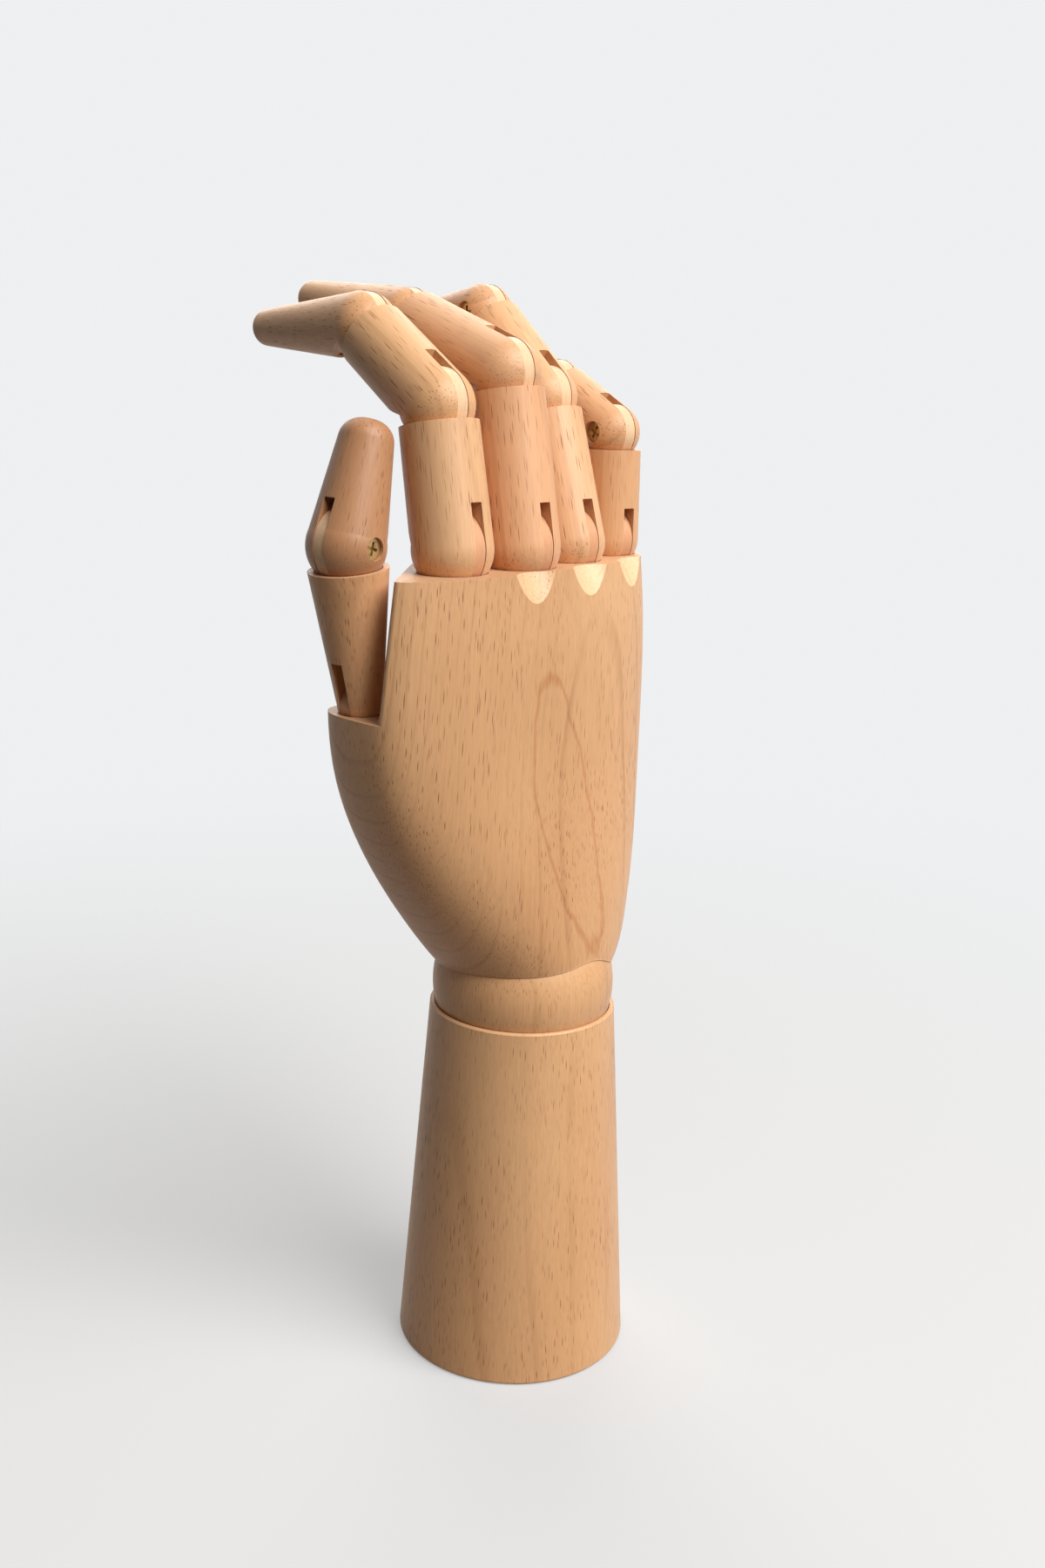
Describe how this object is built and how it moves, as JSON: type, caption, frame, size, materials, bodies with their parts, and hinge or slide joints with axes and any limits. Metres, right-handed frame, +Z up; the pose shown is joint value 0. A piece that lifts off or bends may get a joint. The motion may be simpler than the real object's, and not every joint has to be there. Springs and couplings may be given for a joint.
{
  "type": "wooden hand mannequin",
  "caption": "Jointed wooden right hand on a turned forearm: ball wrist, carved palm, hinged finger and thumb segments, posable and used for drawing or display.",
  "frame": {"origin": "centre of the forearm's flat underside", "axes": "+Z up along the forearm; -X to the thumb side; -Y out of the back of the hand; fingers curl towards +Y"},
  "size_m": [0.0949, 0.1113, 0.2707],
  "materials": {
    "beech": "satin lacquer over sanded beech",
    "tongue_wood": "sanded, thin lacquer",
    "brass": "dull brass",
    "steel": "zinc-plated"
  },
  "bodies": {
    "forearm": {"forearm": "beech", "base_plug": "beech", "rod_washer": "steel"},
    "wrist_core": {"wrist_spring": "steel", "spring_rod": "steel", "rod_nut": "steel"},
    "wrist_ball": {"wrist_ball": "beech"},
    "palm": {"palm": "beech", "palm_anchor": "steel", "index_knuckle_tongue": "tongue_wood", "middle_knuckle_tongue": "tongue_wood", "ring_knuckle_tongue": "tongue_wood", "little_knuckle_tongue": "tongue_wood", "thumb_base_tongue": "tongue_wood"},
    "index_base": {"index_base": "beech", "index_knuckle_screw": "brass", "index_middle_tongue": "tongue_wood"},
    "index_middle": {"index_middle": "beech", "index_middle_screw": "brass", "index_tip_tongue": "tongue_wood"},
    "index_tip": {"index_tip": "beech", "index_tip_screw": "brass"},
    "middle_base": {"middle_base": "beech", "middle_knuckle_screw": "brass", "middle_middle_tongue": "tongue_wood"},
    "middle_middle": {"middle_middle": "beech", "middle_middle_screw": "brass", "middle_tip_tongue": "tongue_wood"},
    "middle_tip": {"middle_tip": "beech", "middle_tip_screw": "brass"},
    "ring_base": {"ring_base": "beech", "ring_knuckle_screw": "brass", "ring_middle_tongue": "tongue_wood"},
    "ring_middle": {"ring_middle": "beech", "ring_middle_screw": "brass", "ring_tip_tongue": "tongue_wood"},
    "ring_tip": {"ring_tip": "beech", "ring_tip_screw": "brass"},
    "little_base": {"little_base": "beech", "little_knuckle_screw": "brass", "little_middle_tongue": "tongue_wood"},
    "little_middle": {"little_middle": "beech", "little_middle_screw": "brass", "little_tip_tongue": "tongue_wood"},
    "little_tip": {"little_tip": "beech", "little_tip_screw": "brass"},
    "thumb_base": {"thumb_base": "beech", "thumb_base_screw": "brass", "thumb_tip_tongue": "tongue_wood"},
    "thumb_tip": {"thumb_tip": "beech", "thumb_tip_screw": "brass"}
  },
  "joints": [
    {"name": "wrist_turn", "type": "hinge", "parent": "forearm", "child": "wrist_core", "pos_m": [0, 0, 0.09875], "axis": [0, 0, 1], "continuous": true},
    {"name": "wrist_flex", "type": "hinge", "parent": "wrist_core", "child": "wrist_ball", "pos_m": [0, 0, 0.09875], "axis": [-1, 0, 0], "range_deg": [-20, 20], "deforming": ["wrist_spring"]},
    {"name": "wrist_tilt", "type": "hinge", "parent": "wrist_ball", "child": "palm", "pos_m": [0, 0, 0.09875], "axis": [0, 1, 0], "range_deg": [-15, 15], "deforming": ["wrist_spring"]},
    {"name": "index_knuckle_bend", "type": "hinge", "parent": "palm", "child": "index_base", "pos_m": [-0.0272, 0.0007, 0.2095], "axis": [-0.9998, -0.0175, 0], "range_deg": [-21, 54]},
    {"name": "index_middle_bend", "type": "hinge", "parent": "index_base", "child": "index_middle", "pos_m": [-0.02731, 0.00692, 0.2415], "axis": [-0.9998, -0.0175, 0], "range_deg": [-45, 24]},
    {"name": "index_tip_bend", "type": "hinge", "parent": "index_middle", "child": "index_tip", "pos_m": [-0.02776, 0.03265, 0.2586], "axis": [-0.9998, -0.0175, 0], "range_deg": [-34, 35]},
    {"name": "middle_knuckle_bend", "type": "hinge", "parent": "palm", "child": "middle_base", "pos_m": [-0.0077, -0.002, 0.2095], "axis": [-1, 0, 0], "range_deg": [-21, 54]},
    {"name": "middle_middle_bend", "type": "hinge", "parent": "middle_base", "child": "middle_middle", "pos_m": [-0.0077, 0.00546, 0.249], "axis": [-1, 0, 0], "range_deg": [-60, 9]},
    {"name": "middle_tip_bend", "type": "hinge", "parent": "middle_middle", "child": "middle_tip", "pos_m": [-0.0077, 0.04066, 0.26105], "axis": [-1, 0, 0], "range_deg": [-11, 59]},
    {"name": "ring_knuckle_bend", "type": "hinge", "parent": "palm", "child": "ring_base", "pos_m": [0.0109, 0.0002, 0.2095], "axis": [-0.9997, 0.0262, 0], "range_deg": [-27, 47]},
    {"name": "ring_middle_bend", "type": "hinge", "parent": "ring_base", "child": "ring_middle", "pos_m": [0.01118, 0.01075, 0.2436], "axis": [-0.9997, 0.0262, 0], "range_deg": [-32, 37]},
    {"name": "ring_tip_bend", "type": "hinge", "parent": "ring_middle", "child": "ring_tip", "pos_m": [0.01178, 0.03379, 0.26343], "axis": [-0.9997, 0.0262, 0], "range_deg": [-47, 23]},
    {"name": "little_knuckle_bend", "type": "hinge", "parent": "palm", "child": "little_base", "pos_m": [0.0281, 0.0035, 0.2095], "axis": [-0.9976, 0.0698, 0], "range_deg": [-10, 64]},
    {"name": "little_middle_bend", "type": "hinge", "parent": "little_base", "child": "little_middle", "pos_m": [0.02811, 0.00368, 0.2357], "axis": [-0.9976, 0.0698, 0], "range_deg": [-62, 8]},
    {"name": "little_tip_bend", "type": "hinge", "parent": "little_middle", "child": "little_tip", "pos_m": [0.0296, 0.0249, 0.24682], "axis": [-0.9976, 0.0698, 0], "range_deg": [-18, 52]},
    {"name": "thumb_base_bend", "type": "hinge", "parent": "palm", "child": "thumb_base", "pos_m": [-0.0445, 0.0122, 0.1737], "axis": [-0.1305, 0.9914, 0], "range_deg": [-27, 0.2]},
    {"name": "thumb_tip_bend", "type": "hinge", "parent": "thumb_base", "child": "thumb_tip", "pos_m": [-0.04942, 0.01155, 0.21037], "axis": [-0.1305, 0.9914, 0], "range_deg": [-22, 0.5]}
  ]
}
